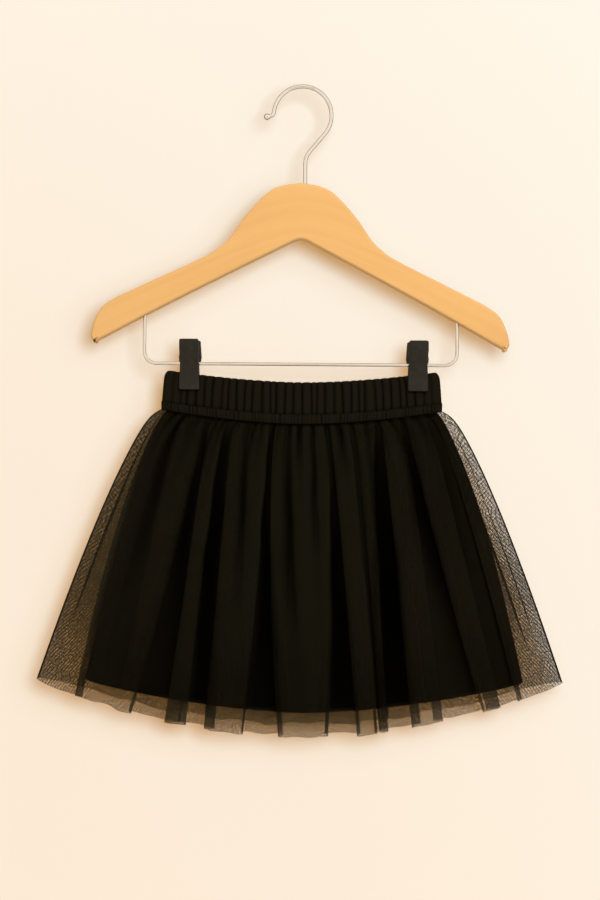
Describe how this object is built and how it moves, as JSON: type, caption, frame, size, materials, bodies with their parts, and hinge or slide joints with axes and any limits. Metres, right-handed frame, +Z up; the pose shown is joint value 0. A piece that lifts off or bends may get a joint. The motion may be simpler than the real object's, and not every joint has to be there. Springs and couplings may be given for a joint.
{
  "type": "tulle skirt on a wooden clip hanger",
  "caption": "Child's black tulle skirt with a ribbed elastic waistband and opaque lining, hung flat by clips from a wooden hanger with a wire hook.",
  "frame": {"origin": "the hook's inner top point, where it rests on a rod or a nail", "axes": "+Z up, +Y to the back, -Y out of the front of the skirt, +X to the viewer's right"},
  "size_m": [0.438, 0.0642, 0.5384],
  "materials": {
    "lacquered_wood": "clear satin lacquer over pale beech",
    "bright_steel": "bright plated wire",
    "black_plastic": "satin moulded black",
    "black_rib": "ribbed black elastic knit",
    "black_lining": "opaque black woven lining",
    "black_tulle": "fine black net, sheer in one layer"
  },
  "bodies": {
    "root": {"waistband_front": "black_rib", "waistband_back": "black_rib", "channel_front": "black_rib", "channel_back": "black_rib", "lining_front": "black_lining", "lining_back": "black_lining", "overlay_front": "black_tulle", "overlay_back": "black_tulle", "yoke": "lacquered_wood", "hook": "bright_steel", "clip_bar": "bright_steel", "clip_left_front_jaw": "black_plastic", "clip_left_back_jaw": "black_plastic", "clip_left_spring": "bright_steel", "clip_right_front_jaw": "black_plastic", "clip_right_back_jaw": "black_plastic", "clip_right_spring": "bright_steel"}
  },
  "joints": []
}
